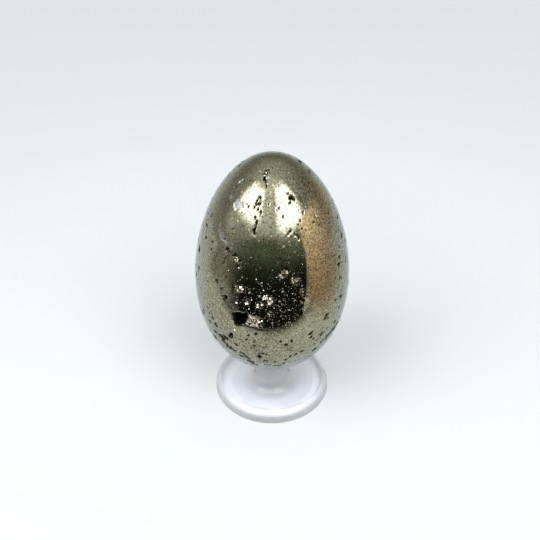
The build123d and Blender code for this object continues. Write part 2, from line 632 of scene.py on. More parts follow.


# Holes where crystals broke out, painted near black inside as painted shade
HOLES = (
    Mark(-21.2, 26.6, 4.0, 3.6, 2.0, 14),
    Mark(-16, 53.3, 0.3, 2.3, 0.2, -13),
    Mark(-12.7, 53.3, 0.3, 2.2, 0.2, 16),
    Mark(-14.2, 52.5, 1.3, 0.4, 0.2, 2),
    Mark(-12, 56.9, 0.6, 1.1, 0.5, 10),
    Mark(-9, 56.1, 0.25, 1.8, 0.2, 20),
    Mark(-16.1, 49.8, 0.35, 0.8, 0.3, -8),
    Mark(-14.6, 48.2, 0.6, 3.4, 0.2, -7),
    Mark(-18.5, 51.9, 0.5, 0.4, 0.3, 12),
    Mark(-11, 50.9, 0.5, 0.4, 0.3, -30),
    Mark(-23.8, 51.8, 0.4, 0.3, 0.2, 20),
    Mark(-13.6, 51.4, 0.4, 0.4, 0.2, 35),
    Mark(21.4, 53.6, 1.0, 0.6, 0.5, 30),
    Mark(23.4, 53.2, 0.7, 0.5, 0.4, -40),
    Mark(18.5, 54.3, 0.5, 0.3, 0.3, 20),
    Mark(18.5, 52.7, 0.4, 0.4, 0.3, 20),
    Mark(5.3, 51.7, 0.7, 0.3, 0.15, 35),
    Mark(9.3, 50.2, 0.6, 0.3, 0.15, 50),
    Mark(-4.6, 52.6, 0.4, 0.3, 0.3, -25),
    Mark(-2.4, 54.5, 0.3, 0.3, 0.2, 10),
    Mark(37.6, 48.1, 1.0, 0.3, 0.3, 5),
    Mark(42.6, 47.2, 0.6, 0.4, 0.3, 25),
    Mark(41.3, 49.2, 0.3, 0.7, 0.3, 5),
    Mark(30.2, 50.6, 0.3, 0.8, 0.3, -15),
    Mark(25.6, 49, 0.3, 0.6, 0.3, 15),
    Mark(-41, 34.6, 0.7, 0.8, 0.5, 20),
    Mark(-36.3, 33.2, 0.6, 0.7, 0.5, 10),
    Mark(-33, 31.1, 0.8, 1.5, 0.6, -10),
    Mark(-34.5, 31.6, 1.3, 0.5, 0.5, 20),
    Mark(-71, 38.2, 0.9, 1.8, 0.5, 15),
    Mark(-66, 34, 0.6, 1.0, 0.4, 5),
    Mark(-72, 31, 0.7, 1.4, 0.4, -10),
    Mark(-35.6, 42.6, 0.8, 0.5, 0.3, -10),
    Mark(-40.4, 44.4, 0.5, 0.3, 0.3, -40),
    Mark(-29, 41.6, 0.5, 0.7, 0.3, 20),
    Mark(-23.5, 39.6, 0.7, 0.5, 0.3, -35),
    Mark(14, 47.2, 0.3, 1.6, 0.15, -40),
    Mark(19.5, 46.2, 0.3, 1.8, 0.15, 35),
    Mark(70, 42, 0.9, 1.0, 0.5, 10),
    Mark(68.5, 36.3, 0.5, 1.2, 0.4, 0),
    Mark(55.3, 36.6, 0.5, 1.4, 0.4, 0),
    Mark(60, 40.5, 0.4, 0.5, 0.3, 20),
    Mark(74, 46, 0.8, 0.6, 0.4, 30),
    Mark(40.7, 25.4, 0.9, 0.8, 0.5, 40),
    Mark(39, 24.6, 0.9, 0.6, 0.5, 10),
    Mark(42, 24.2, 0.5, 0.4, 0.3, 0),
    Mark(27.5, 21.3, 1.0, 0.8, 0.4, 25),
    Mark(28.6, 20, 1.3, 0.7, 0.4, 25),
    Mark(57.3, 18.1, 2.8, 1.2, 0.4, 55),
    Mark(51, 17.6, 2.6, 1.1, 0.4, 52),
    Mark(47.3, 16.8, 1.8, 1.0, 0.4, 50),
    Mark(42.3, 16, 1.5, 0.9, 0.4, 45),
    Mark(36.6, 13.9, 1.4, 0.8, 0.4, 40),
    Mark(-44.3, 21.5, 0.9, 1.2, 0.5, 20),
    Mark(-47.8, 18.3, 1.2, 0.9, 0.5, -40),
    Mark(-52, 21, 1.2, 0.9, 0.4, -40),
    Mark(-47, 23.4, 0.8, 0.9, 0.4, -20),
    Mark(-40.8, 17.9, 2.2, 1.1, 0.5, -38),
    Mark(-36.3, 18.6, 2.0, 1.0, 0.5, -38),
    Mark(-30.8, 20.4, 1.0, 1.9, 0.6, -15),
    Mark(-39.5, 16.3, 1.9, 0.9, 0.5, -38),
    Mark(-28, 17.4, 1.1, 0.8, 0.4, -30),
    Mark(-36.8, 14.8, 1.8, 0.9, 0.4, -38),
    Mark(-32.7, 14.6, 1.5, 0.9, 0.4, -38),
    Mark(-18.6, 20.4, 0.6, 0.4, 0.3, 20),
    Mark(-13.3, 18.9, 0.5, 0.4, 0.3, -20),
    Mark(-16.4, 22, 0.5, 0.4, 0.3, 10),
    Mark(-11.2, 23.2, 0.5, 0.6, 0.3, -30),
    Mark(-27, 12.8, 1.4, 0.9, 0.4, -35),
    Mark(-24, 14.4, 1.3, 0.8, 0.4, -40),
    Mark(-21, 12.9, 2.0, 1.1, 0.5, -35),
    Mark(-19.4, 11, 2.2, 1.1, 0.5, -30),
    Mark(-16.5, 9.7, 1.6, 0.9, 0.5, -15),
    Mark(-10.1, 14.4, 0.9, 1.5, 0.4, 30),
    Mark(-7, 16.1, 0.8, 0.5, 0.4, 0),
    Mark(-4.4, 15.8, 0.7, 0.7, 0.4, 10),
    Mark(-5.5, 12.8, 1.0, 0.8, 0.5, 0),
    Mark(-3.6, 10.7, 1.8, 0.7, 0.4, 5),
    Mark(4.6, 9.8, 2.0, 0.8, 0.4, 5),
    Mark(9.4, 10.9, 0.9, 0.7, 0.4, 10),
    Mark(11.1, 13, 0.8, 0.7, 0.4, 20),
    Mark(15, 14.2, 1.0, 0.7, 0.4, 15),
    Mark(18.4, 14.8, 0.9, 0.6, 0.4, 25),
    Mark(23.2, 15.4, 0.8, 0.6, 0.4, 30),
    Mark(13.3, 17.7, 0.6, 0.6, 0.4, 0),
    Mark(9.6, 19.3, 1.0, 0.4, 0.4, 5),
    Mark(13.4, 20.6, 0.5, 0.7, 0.4, 10),
    Mark(5.8, 20.7, 0.5, 0.5, 0.3, 0),
)

# Shallow hollows lined with small crystals, painted nearly black between the crystals as painted shade
CRYSTAL_BEDS = (
    Mark(-12, 26.3, 4.2, 3.2, 1.0, -12),
    Mark(-23, 34.4, 3.0, 1.4, 0.7, 8),
    Mark(-2.9, 32.6, 2.8, 2.0, 0.7, -35),
    Mark(-8, 31.2, 1.9, 1.4, 0.7, 20),
    Mark(-17, 31.4, 1.7, 1.1, 0.6, 25),
    Mark(7.5, 38.8, 2.2, 1.6, 0.7, 30),
    Mark(15.7, 36.9, 2.3, 1.6, 0.7, -20),
    Mark(-11.7, 57.9, 0.6, 1.4, 0.3, -25),
    Mark(20.7, 33.8, 0.8, 1.0, 0.5, 10),
    Mark(-26, 41.2, 1.8, 1.2, 0.4, -30),
    Mark(-2, 29, 1.2, 0.9, 0.5, 40),
)

# Grey-white inclusions, level with the polish
INCLUSIONS = (
    Mark(-36, 51.6, 2.6, 2.4, 0.06, 30),
    Mark(-48.7, 52.5, 1.2, 1.2, 0.06, 10),
    Mark(-7, 56.9, 1.3, 1.0, 0.05, 40),
    Mark(-47.5, 45.4, 2.2, 0.6, 0.1, -40),
    Mark(-43, 44.9, 2.6, 1.4, 0.1, -35),
    Mark(-38.4, 44.4, 2.4, 1.3, 0.1, -40),
    Mark(-34, 43.2, 1.2, 0.6, 0.1, -10),
    Mark(-50, 46.8, 0.4, 1.4, 0.1, 20),
    Mark(18, 59, 1.0, 0.6, 0.05, 30),
    Mark(-48, 55.7, 0.4, 2.0, 0.1, -20),
)

# Sandy ground, where brown grains dull the polish: centre, and reach round and up the egg
SANDY_GROUND = (
    Mark(70, 42, 38, 42),
    Mark(-8, 14, 22, 22),
    Mark(-55, 20, 30, 22),
    Mark(40, 54, 22, 12),
)

# Coarse ground, where many crystal faces lie open: centre, and reach round and up the egg
COARSE_GROUND = (
    Mark(-2, 31, 22, 14),
    Mark(-14, 28, 14, 9),
    Mark(-30, 17, 16, 8),
    Mark(10, 11, 24, 8),
)


@dataclass(frozen=True)
class HoleScatter:
    """Small holes all over the egg, most of them in loose groups, in degrees and millimetres.

    None are scattered over the upper front, whose holes are all placed one by one. The logarithm of a hole's
    width has the mean and the spread in width_log. Its length and its depth are counted in widths.
    """

    count: int = 560
    group_size: int = 7
    azimuth_spread: float = 7.0
    height_spread: float = 2.2
    width_log: tuple[float, float] = (-0.85, 0.35)
    stretch: tuple[float, float] = (0.6, 1.7)
    depth_share: float = 0.45
    most_turn: float = 45.0
    lowest: float = 2.0
    highest: float = 58.0
    placed_azimuth: float = 48.0
    placed_height: float = 22.0

    def draw(self, draws: np.random.Generator, heights: np.ndarray, radii: np.ndarray) -> list[Mark]:
        """Draw the holes.

        Args:
            draws: source of the places and sizes.
            heights: heights of the egg's rows above its blunt end, in millimetres.
            radii: the egg's radius at each row, by which the groups are shared out.

        Returns:
            The holes.
        """
        groups = self.count // self.group_size
        group = draws.integers(0, groups, self.count)
        azimuth = draws.uniform(-180, 180, groups)[group] + draws.normal(0, self.azimuth_spread, self.count)
        middles = draws.choice(heights, groups, p=radii / radii.sum())
        height = middles[group] + draws.normal(0, self.height_spread, self.count)
        width = draws.lognormal(*self.width_log, self.count)
        length = width * draws.uniform(*self.stretch, self.count)
        turn = draws.uniform(-self.most_turn, self.most_turn, self.count)
        height = np.clip(height, self.lowest, self.highest)
        kept = (np.abs(azimuth) >= self.placed_azimuth) | (height <= self.placed_height)
        table = np.stack([azimuth, height, width, length, self.depth_share * width, turn], axis=1)
        return [Mark(*row) for row in table[kept].tolist()]


@dataclass
class Egg:
    """The polished egg: its outline carried round the axis, with its natural marks sunk into the surface."""

    bottom: float
    top: float
    radius: float
    widest: float = 26.4 * MM
    base_reach: float = 11.8 * MM
    lower_reach: float = 15.2 * MM
    upper_reach: float = 17.7 * MM
    tip_reach: float = 10.5 * MM
    curve_steps: int = 2000
    rows: int = 298
    columns: int = 330
    front_share: float = 0.4
    # The marks' edges: how much of a mark is slope, and the waver along it
    edge_share: float = 0.35
    waver: float = 0.12 * MM
    wave_count: int = 5
    wave_mm: tuple[float, float] = (0.9, 2.4)
    # The painted shade of holes and beds runs over their borders, and the pale of inclusions is a thin veil
    hole_border: float = 0.25
    hole_sharpness: float = 4.0
    bed_border_mm: float = 0.4
    bed_sharpness: float = 3.0
    bed_shade: float = 0.95
    veil: float = 0.65
    scatter: HoleScatter = HoleScatter()

    def outline(self, count: int) -> tuple[np.ndarray, np.ndarray, np.ndarray]:
        """Points of the half outline, evenly spaced from the blunt end to the tip.

        Formula: two cubic curves that meet upright at the widest circle, resampled by length.

        Args:
            count: how many points, ends included.

        Returns:
            Radius and height of each point, the outward normal in that plane, and the length run so far.
        """
        belt = self.bottom + self.widest
        foot = (0, self.bottom)
        side = (self.radius, belt)
        tip = (0, self.top)
        lower = np.array([foot, (self.base_reach, self.bottom), (self.radius, belt - self.lower_reach), side])
        upper = np.array([side, (self.radius, belt + self.upper_reach), (self.tip_reach, self.top), tip])
        share = np.linspace(0, 1, self.curve_steps)
        dense = np.concatenate([cubic(lower, share), cubic(upper, share[1:])])
        run = run_length(dense)
        along = np.linspace(0, run[-1], count)
        slope = read_along(run, np.gradient(dense, run, axis=0), along)
        return read_along(run, dense, along), outward(slope), along

    def azimuths(self) -> np.ndarray:
        """Azimuths of the columns, closer together at the front: v - k sin v."""
        even = np.linspace(-math.pi, math.pi, self.columns, endpoint=False)
        return even - self.front_share * np.sin(even)

    def lay_grid(self) -> None:
        """Work out the smooth surface: the outline, less its two ends, carried round the axis."""
        points, normals, along = self.outline(self.rows + 2)
        self.profile = points[1:-1]
        self.along = along[1:-1]
        self.heights = self.profile[:, 1] - self.bottom
        self.points = round_axis(self.profile[:, :1], self.azimuths(), self.profile[:, 1:])
        self.normals = round_axis(normals[1:-1, :1], self.azimuths(), normals[1:-1, 1:])

    def lay_waver(self, draws: np.random.Generator) -> None:
        """Work out the waver that roughens every mark's edge: half a sum of sines along random directions.

        Args:
            draws: source of the directions, lengths and phases.
        """
        waves = draws.normal(size=(2, self.wave_count, 3))
        lengths = draws.uniform(*self.wave_mm, size=(2, self.wave_count, 1)) * MM
        waves *= 2 * math.pi / (lengths * np.linalg.norm(waves, axis=2, keepdims=True))
        phases = draws.uniform(0, 2 * math.pi, size=(2, self.wave_count))
        swings = np.sin(np.einsum("rcx,kwx->rckw", self.points, waves) + phases)
        self.wavers = self.waver * swings.sum(axis=-1) / 2

    def across(self, mark: Mark, rows: slice = slice(None)) -> tuple[np.ndarray, np.ndarray]:
        """Places of the grid in a mark's own square frame, where its edges lie at -1 and 1.

        Args:
            mark: the mark.
            rows: rows of the grid that matter.

        Returns:
            The two coordinates of every grid point: turned, divided by half the mark's width and length.
        """
        centre_along = np.interp(mark.height * MM, self.heights, self.along)
        centre_radius = np.interp(mark.height * MM, self.heights, self.profile[:, 0])
        around = np.angle(np.exp(1j * (self.azimuths() - math.radians(mark.azimuth))))
        x = centre_radius * around[None, :] + self.wavers[rows, :, 0]
        y = (self.along[rows] - centre_along)[:, None] + self.wavers[rows, :, 1]
        turn = math.radians(mark.turn)
        first = x * math.cos(turn) + y * math.sin(turn)
        second = y * math.cos(turn) - x * math.sin(turn)
        return first / (mark.width * MM / 2), second / (mark.length * MM / 2)

    def square(self, mark: Mark, rows: slice = slice(None)) -> np.ndarray:
        """How far inside a mark each place lies: 0 outside, easing to 1, by the larger coordinate."""
        first, second = self.across(mark, rows)
        return smooth_step((1 - np.maximum(np.abs(first), np.abs(second))) / self.edge_share)

    def near_rows(self, mark: Mark) -> slice:
        """Find the rows of the grid that a small mark can reach.

        Args:
            mark: the mark.

        Returns:
            Those rows, as far from its centre as its width and length together.
        """
        centre = np.interp(mark.height * MM, self.heights, self.along)
        reach = (mark.width + mark.length) * MM
        return slice(*np.searchsorted(self.along, (centre - reach, centre + reach)))

    def sink_marks(self, draws: np.random.Generator) -> dict[Field, np.ndarray]:
        """Sink every mark below the polish and note what the finish has to know.

        Args:
            draws: source of the scattered holes.

        Returns:
            The finish's attributes, one value a grid point.
        """
        depth = np.zeros((self.rows, self.columns))
        fields = {field: np.zeros_like(depth) for field in Field}
        # This mask paints holes and beds near black in the finish: painted shade in the recesses
        dark = fields[Field.HOLE_SHADE]
        for mark in (*HOLES, *self.scatter.draw(draws, self.heights / MM, self.profile[:, 0])):
            rows = self.near_rows(mark)
            depth[rows] = np.maximum(depth[rows], self.square(mark, rows) * mark.depth * MM)
            border = self.square(mark.widened(mark.depth * self.hole_border), rows)
            dark[rows] = np.maximum(dark[rows], smooth_step(self.hole_sharpness * border))
        # Each bed's floor between its crystals is painted nearly black: painted shade
        for mark in CRYSTAL_BEDS:
            depth = np.maximum(depth, self.square(mark) * mark.depth * MM)
            border = self.square(mark.widened(self.bed_border_mm))
            dark = np.maximum(dark, self.bed_shade * smooth_step(self.bed_sharpness * border))
        fields[Field.HOLE_SHADE] = dark
        for mark in INCLUSIONS:
            share = self.square(mark)
            depth = np.maximum(depth, share * mark.depth * MM)
            fields[Field.PALE] = np.maximum(fields[Field.PALE], self.veil * share)
        for field, ground in ((Field.COARSE, COARSE_GROUND), (Field.SANDY, SANDY_GROUND)):
            for mark in ground:
                first, second = self.across(mark)
                fields[field] = np.maximum(fields[field], np.exp(-(first**2 + second**2)))
        self.points -= depth[..., None] * self.normals
        return fields

    def build(self, draws: np.random.Generator, material: bpy.types.Material) -> bpy.types.Object:
        """Build the egg's mesh, with a fan of triangles at each pole.

        Args:
            draws: source of everything that is random.
            material: its finish.

        Returns:
            The egg, riding on its body in place of the plain solid.
        """
        self.lay_grid()
        self.lay_waver(draws)
        fields = self.sink_marks(draws)
        poles = [(0, 0, self.bottom), (0, 0, self.top)]
        points = np.concatenate([self.points.reshape(-1, 3), poles])
        egg = new_piece("polished_egg", points, closed_faces(self.rows, self.columns), material)
        for field, values in fields.items():
            set_values(egg, field.value, np.append(values, [0, 0]))
        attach(egg, "egg")
        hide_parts("egg")
        return egg


# Faces of a cube whose corners count up along x, then y, then z
CUBE_SIDES = ((0, 2, 3, 1), (4, 5, 7, 6), (0, 1, 5, 4), (2, 6, 7, 3), (0, 4, 6, 2), (1, 3, 7, 5))


@dataclass
class CavityCrystals:
    """The small cubes that fill the egg's crystal beds, each turned its own way and kept under the polish.

    Spread is how far over a bed they lie, in shares of its size. An edge is a share of the bed's depth, and a
    cube's middle lies at a share of that depth, at least cover times its edge below the polish.
    """

    egg: Egg
    per_square_mm: float = 5.0
    fewest: int = 6
    spread: float = 0.46
    edge_share: tuple[float, float] = (0.3, 0.78)
    edge_depth_mm: float = 0.9
    sunk_share: tuple[float, float] = (0.2, 0.7)
    cover: float = 0.65

    def places(self, draws: np.random.Generator) -> tuple[np.ndarray, np.ndarray]:
        """Choose where the cubes lie and how large they are.

        Formula: a place (x, y) on the bed, turned with it, runs along the egg's outline and round the axis
        from the bed's middle, and is then sunk along the outline's normal.

        Args:
            draws: source of the places and sizes.

        Returns:
            Each cube's middle, and the length of its edges.
        """
        egg = self.egg
        beds = np.array([astuple(mark) for mark in CRYSTAL_BEDS])
        areas = np.array([mark.width * mark.length for mark in CRYSTAL_BEDS])
        counts = np.maximum(self.fewest, (areas * self.per_square_mm).astype(int))
        table = np.repeat(beds, counts, axis=0)
        azimuth, height, width, length, depth, turn = table.T
        total = len(table)
        x = draws.uniform(-self.spread, self.spread, total) * width * MM
        y = draws.uniform(-self.spread, self.spread, total) * length * MM
        angle = np.radians(turn)
        along = np.interp(height * MM, egg.heights, egg.along) + y * np.cos(angle) + x * np.sin(angle)
        radius, level = read_along(egg.along, egg.profile, along).T
        around = np.radians(azimuth) + (x * np.cos(angle) - y * np.sin(angle)) / radius
        edges = draws.uniform(*self.edge_share, total) * np.minimum(self.edge_depth_mm, depth) * MM
        sunk = np.maximum(edges * self.cover, depth * MM * draws.uniform(*self.sunk_share, total))
        slope = read_along(egg.along, np.gradient(egg.profile, egg.along, axis=0), along)
        normals = round_axis(slope[:, 1], around, -slope[:, 0])
        return round_axis(radius, around, level) - sunk[:, None] * normals, edges

    def build(self, draws: np.random.Generator, material: bpy.types.Material) -> bpy.types.Object:
        """Build the cubes.

        Formula: cube corners (+-e/2) turned by a random rotation and carried to a place on the bed's floor.

        Args:
            draws: source of the places, sizes and turns.
            material: their finish.

        Returns:
            All the cubes as one piece that rides with the egg.
        """
        middles, edges = self.places(draws)
        turns = np.linalg.qr(draws.normal(size=(len(edges), 3, 3)))[0]
        turns *= np.sign(np.linalg.det(turns))[:, None, None]
        corners = np.array([(x, y, z) for z in (-1, 1) for y in (-1, 1) for x in (-1, 1)]) / 2
        points = middles[:, None] + np.einsum("nij,kj->nki", turns, corners) * edges[:, None, None]
        faces = np.arange(len(edges))[:, None, None] * len(corners) + np.array(CUBE_SIDES)
        crystals = new_piece("cavity_crystals", points, faces.reshape(-1, 4).tolist(), material)
        crystals.data.shade_flat()
        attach(crystals, "egg")
        return crystals


# Stand


# Painted shade on the stand's underside by radius and on its stem by height, in millimetres: the egg's shadow
# seen through the dish and stem, and the shadow under the lip's outer side
SHADE_RINGS = (
    (4.5, 0),
    (6, 0.42),
    (7, 0.42),
    (9.4, 0.32),
    (10.6, 0.26),
    (11.6, 0.17),
    (12.4, 0),
    (13.8, 0),
    (14.6, 0.3),
    (15.4, 0.4),
    (16.7, 0.5),
)
STEM_SHADE = ((4, 0), (8, 0.5), (11, 0.58))


@dataclass
class PedestalStand:
    """The clear stand: a dished base with a raised lip, a stem and a cup that takes the egg's own curve."""

    egg: Egg
    base_radius: float
    height: float
    base_thickness: float = 0.8 * MM
    lip_wall: float = 2.5 * MM
    lip_draft: float = 0.2 * MM
    lip_top: float = 1.6 * MM
    lip_height: float = 3.0 * MM
    lip_slope: float = 2.8 * MM
    stem_radius: float = 5.0 * MM
    stem_fillet: float = 4.0 * MM
    cup_overhang: float = 2.4 * MM
    cup_flare: float = 2.4 * MM
    cup_band: float = 0.8 * MM
    cup_rim: float = 0.6 * MM
    seat_clearance: float = 0.15 * MM
    base_edge: float = 0.15 * MM
    lip_shoulder: float = 1.8 * MM
    lip_edge: float = 0.3 * MM
    dish_fillet: float = 1.2 * MM
    soft_edge: float = 0.12 * MM
    # Radius within which what is not underside counts as stem and cup
    stem_reach: float = 8.0 * MM
    # Fineness of the mesh
    outline_steps: int = 900
    cup_stride: int = 6
    arc_steps: int = 12
    step: float = 0.2 * MM
    columns: int = 256

    def cup(self) -> np.ndarray:
        """The cup's hollow: the egg's lower outline, lowered by the clearance.

        Returns:
            Radius and height of each point, from the rim to the axis.
        """
        points, _, _ = self.egg.outline(self.outline_steps)
        seat_radius = self.stem_radius + self.cup_overhang - self.cup_rim
        inside = points[(points[:, 0] < seat_radius) & (points[:, 1] < self.height)]
        return inside[:: -self.cup_stride] - (0, self.seat_clearance)

    def flare(self) -> np.ndarray:
        """The curve from the stem out to the rim: a circle that leaves the stem upright.

        Returns:
            Radius and height of each point, from the stem to the rim.
        """
        out = self.cup_overhang
        radius = (out**2 + self.cup_flare**2) / (2 * out)
        end = math.asin(self.cup_flare / radius)
        angle = np.linspace(0, end, 2 * self.arc_steps)
        foot = self.height - self.cup_band - self.cup_flare
        out_to = self.stem_radius + radius * (1 - np.cos(angle))
        return np.stack([out_to, foot + radius * np.sin(angle)], axis=1)

    def rounded(self, corner: np.ndarray, before: np.ndarray, after: np.ndarray, radius: float) -> np.ndarray:
        """Round one corner of the profile.

        Formula: an arc of the radius that touches both runs, its centre on the line that halves the corner.

        Args:
            corner: the sharp corner.
            before: a point on the run into it.
            after: a point on the run out of it.
            radius: radius of the rounding.

        Returns:
            Points of the arc, in order.
        """
        back = (before - corner) / np.linalg.norm(before - corner)
        ahead = (after - corner) / np.linalg.norm(after - corner)
        half = math.acos(np.clip(back @ ahead, -1, 1)) / 2
        middle = (back + ahead) / np.linalg.norm(back + ahead)
        centre = corner + middle * radius / math.sin(half)
        first = corner + back * radius / math.tan(half) - centre
        last = corner + ahead * radius / math.tan(half) - centre
        sweep = math.pi - 2 * half
        share = np.linspace(0, 1, self.arc_steps)[:, None]
        return centre + (np.sin((1 - share) * sweep) * first + np.sin(share * sweep) * last) / math.sin(sweep)

    def run(self, corners: list[tuple[tuple[float, float], float]]) -> np.ndarray:
        """A run of straight lines with its inner corners rounded.

        Args:
            corners: each corner and its radius; the first and last stay sharp.

        Returns:
            Points of the run.
        """
        places = np.array([corner for corner, _ in corners], dtype=float)
        radii = [radius for _, radius in corners]
        inner = zip(places[1:-1], places[:-2], places[2:], radii[1:-1])
        return np.concatenate([places[:1], *[self.rounded(*each) for each in inner], places[-1:]])

    def profile(self) -> np.ndarray:
        """Half section of the stand, from the axis on the underside round to the axis in the cup.

        Returns:
            Radius and height of each point, with every corner rounded.
        """
        shoulder = self.base_radius - self.lip_draft
        crest = shoulder - self.lip_top
        dish = crest - self.lip_slope
        cup_radius = self.stem_radius + self.cup_overhang
        flare = self.flare()
        cup = self.cup()
        base = [
            ((0, 0), 0),
            ((self.base_radius, 0), self.base_edge),
            ((shoulder, self.lip_wall), self.lip_shoulder),
            ((crest, self.lip_height), self.lip_edge),
            ((dish, self.base_thickness), self.dish_fillet),
            ((self.stem_radius, self.base_thickness), self.stem_fillet),
            (flare[0], 0),
        ]
        rim = [
            (flare[-2], 0),
            ((cup_radius, self.height - self.cup_band), self.soft_edge),
            ((cup_radius, self.height), self.soft_edge),
            (cup[0], self.soft_edge),
            (cup[1], 0),
        ]
        points = np.concatenate([self.run(base), flare[1:-2], self.run(rim), cup[2:]])
        length = run_length(points)
        return read_along(length, points, np.union1d(length, np.arange(0, length[-1], self.step)))

    def painted_shade(self, profile: np.ndarray) -> np.ndarray:
        """How much painted shade greys the plastic at each point of the profile, from 0 to 1.

        Formula: by radius on the underside, by height on the stem, and none elsewhere.

        Args:
            profile: the half section.

        Returns:
            One share a point.
        """
        radius, height = profile.T
        under = np.interp(radius / MM, *np.array(SHADE_RINGS).T)
        up = np.interp(height / MM, *np.array(STEM_SHADE).T)
        return np.where(height < self.base_edge, under, np.where(radius < self.stem_reach, up, 0))

    def build(self, material: bpy.types.Material) -> bpy.types.Object:
        """Carry the profile round the axis, with its own normals and a fan of triangles at each pole.

        Args:
            material: its finish.

        Returns:
            The stand, riding on its body in place of the plain solid.
        """
        profile = self.profile()
        section = profile[1:-1]
        slants = outward(np.gradient(profile, run_length(profile), axis=0))[1:-1]
        turn = np.linspace(0, 2 * math.pi, self.columns, endpoint=False)
        rings = round_axis(section[:, :1], turn, section[:, 1:])
        normals = round_axis(slants[:, :1], turn, slants[:, 1:])
        poles = [(0, 0, profile[0, 1]), (0, 0, profile[-1, 1])]
        points = np.concatenate([rings.reshape(-1, 3), poles])
        stand = new_piece("clear_pedestal", points, closed_faces(len(section), self.columns), material)
        all_normals = np.concatenate([normals.reshape(-1, 3), [(0, 0, -1), (0, 0, 1)]])
        stand.data.normals_split_custom_set_from_vertices(all_normals)
        # Painted shade, one share a point, for the finish to read
        share = self.painted_shade(profile)
        set_values(stand, PAINTED_SHADE, np.append(np.repeat(share[1:-1], self.columns), share[[0, -1]]))
        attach(stand, "stand")
        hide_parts("pedestal_stand")
        stand.visible_shadow = False
        return stand


# Studio


# Height of the object's middle, round which the lamps and the room are laid out
MIDDLE = 40 * MM

# Tone of the backdrop, which the far table and the air behind it share
BACKDROP = "#DEE3E7"


def band(value: np.ndarray, centre: float, half: float, soft: float) -> np.ndarray:
    """How far a value lies in a band: 1 inside, easing to 0 over the soft width, half way at its edge."""
    return smooth_step((half + soft / 2 - np.abs(value - centre)) / soft)


@dataclass(frozen=True)
class Softbox:
    """A soft front light: its direction and size from the egg in degrees, its glow, and its power in watts.

    Its sides are softer than its top and bottom. The lamp's distance and size are in metres.
    """

    name: str
    azimuth: float
    elevation: float
    half_width: float
    half_height: float
    soft: float
    glow: float
    power: float
    side_softness: float = 1.4
    distance: float = 0.5
    size: float = 0.32

    def seen(self, azimuth: np.ndarray, elevation: np.ndarray) -> np.ndarray:
        """Its glow towards each direction: the product of a band of azimuth and a band of elevation."""
        across = band(azimuth, self.azimuth, self.half_width, self.soft * self.side_softness)
        return self.glow * across * band(elevation, self.elevation, self.half_height, self.soft)

    def lamp(self) -> bpy.types.Object:
        """Light the object from the softbox's place.

        Returns:
            The lamp, which reflections don't show: the room carries its glow.
        """
        azimuth = math.radians(self.azimuth)
        elevation = math.radians(self.elevation)
        light = bpy.data.lights.new(self.name, "AREA")
        light.shape = "SQUARE"
        light.size = self.size
        light.energy = self.power
        lamp = bpy.data.objects.new(self.name, light)
        level = self.distance * math.sin(elevation) + MIDDLE
        lamp.location = round_axis(self.distance * math.cos(elevation), azimuth, level).tolist()
        lamp.rotation_euler = (math.pi / 2 - elevation, 0, azimuth)
        lamp.visible_glossy = False
        lamp.visible_transmission = False
        bpy.context.scene.collection.objects.link(lamp)
        return lamp


SOFTBOXES = (
    Softbox("left_softbox", -54, 47, 25, 15, 15, 5.8, 1.18),
    Softbox("right_softbox", 37, 48, 24, 20, 14, 5.4, 1.2),
)


def glowing(
    name: str, points: np.ndarray, quads: np.ndarray, glow: np.ndarray, cover: np.ndarray
) -> bpy.types.Object:
    """Put up a surface that only reflections and the clear stand see, with its own glow at every point.

    Args:
        name: its name.
        points: its points.
        quads: its faces.
        glow: linear colour of each point.
        cover: how much of what lies behind each point it hides, from 0 to 1.

    Returns:
        The surface.
    """
    material, tree = new_material(name)
    tone = node(tree, "Attribute", attribute_name=GLOW).outputs["Color"]
    share = node(tree, "Attribute", attribute_name=COVER).outputs["Fac"]
    lit = node(tree, "Emission", {"Color": tone, "Strength": 1.0}).outputs[0]
    clear = node(tree, "BsdfTransparent").outputs[0]
    shown = node(tree, "MixShader", {0: share, 1: clear, 2: lit}).outputs[0]
    node(tree, "OutputMaterial", {"Surface": shown})
    made = new_piece(name, points, quads.tolist(), material)
    colours = np.concatenate([glow.reshape(-1, 3), np.ones((glow.size // 3, 1))], axis=1)
    made.data.attributes.new(GLOW, "FLOAT_COLOR", "POINT").data.foreach_set("color", colours.ravel())
    set_values(made, COVER, cover)
    made.visible_camera = False
    made.visible_diffuse = False
    made.visible_shadow = False
    return made


@dataclass(frozen=True)
class Lobe:
    """A soft round glow on the room's wall: its direction and its spread each way, in degrees."""

    azimuth: float
    elevation: float
    width: float
    height: float

    def seen(self, azimuth: np.ndarray, elevation: np.ndarray) -> np.ndarray:
        """Its share towards each direction: exp(-a^2 - e^2), where a and e are offsets over the spread.

        Args:
            azimuth: azimuths in degrees.
            elevation: elevations in degrees.

        Returns:
            One share a direction, from 0 to 1.
        """
        across = (azimuth - self.azimuth) / self.width
        up = (elevation - self.elevation) / self.height
        return np.exp(-(across**2) - up**2)


